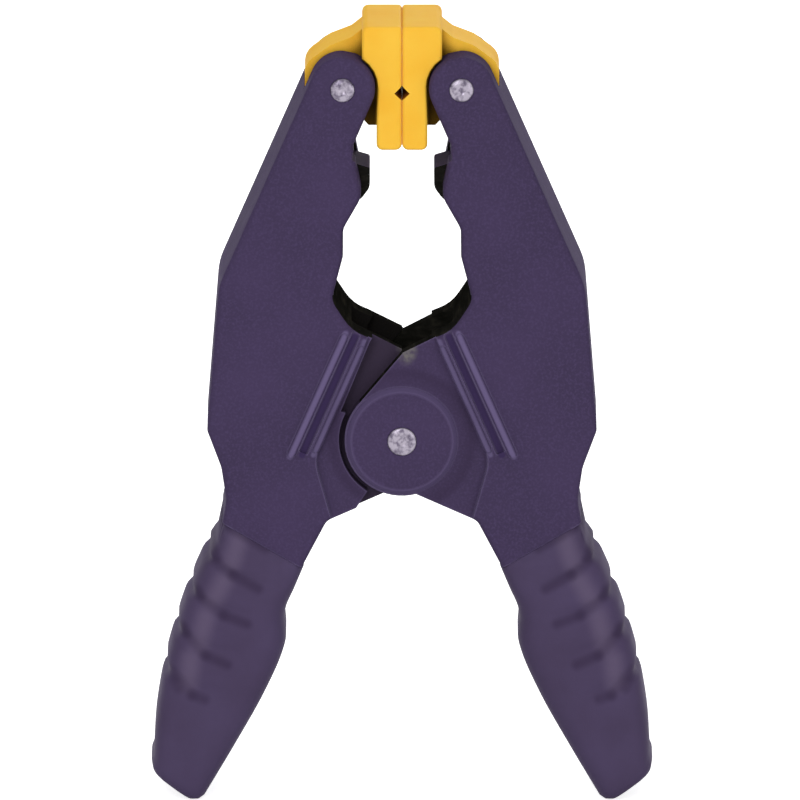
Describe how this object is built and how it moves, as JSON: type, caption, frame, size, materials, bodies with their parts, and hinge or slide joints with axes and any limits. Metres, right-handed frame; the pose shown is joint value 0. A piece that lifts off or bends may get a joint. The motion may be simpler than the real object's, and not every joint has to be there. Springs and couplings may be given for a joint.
{
  "type": "spring clamp",
  "caption": "Pistol-shaped spring clamp with swivelling jaw pads, lobed grips and a riveted hinge round a torsion spring; squeezing the handles opens the jaws.",
  "frame": {"origin": "on the middle plane of the closed clamp, midway between the ends of the handles, at the height of those ends", "axes": "+Z from the handle ends up to the jaws; +X to the right lever as the clamp is seen with the right lever's hinge disc in front; +Y from that disc through the thickness to the back"},
  "size_m": [0.1068, 0.0268, 0.1699],
  "materials": {
    "lever": "fine-textured dark purple glass-filled nylon",
    "grip": "satin purple moulded grip",
    "pad": "satin yellow plastic",
    "steel": "peened rivet steel",
    "spring_steel": "oiled spring wire"
  },
  "bodies": {
    "left_half": {"left_lever": "lever", "left_grip": "grip", "pivot_rivet": "steel", "torsion_spring": "spring_steel", "left_pad_pin": "steel"},
    "right_half": {"right_lever": "lever", "right_grip": "grip", "right_pad_pin": "steel"},
    "left_jaw": {"left_pad": "pad"},
    "right_jaw": {"right_pad": "pad"}
  },
  "joints": [
    {"name": "jaw_open", "type": "hinge", "parent": "left_half", "child": "right_half", "pos_m": [0, 0, 0.0797], "axis": [0, 1, 0], "range_deg": [0, 40], "stiffness_Nm_per_rad": 2.9, "springref_deg": -59.01, "deforming": ["torsion_spring"]},
    {"name": "left_pad_swivel", "type": "hinge", "parent": "left_half", "child": "left_jaw", "pos_m": [-0.0126, 0, 0.1567], "axis": [0, 1, 0], "range_deg": [0, 20]},
    {"name": "right_pad_swivel", "type": "hinge", "parent": "right_half", "child": "right_jaw", "pos_m": [0.0126, 0, 0.1567], "axis": [0, 1, 0], "range_deg": [-20, 0]}
  ],
  "couplings": [
    {"joint": "left_pad_swivel", "follows": "jaw_open", "ratio": 0.5},
    {"joint": "right_pad_swivel", "follows": "jaw_open", "ratio": -0.5}
  ]
}
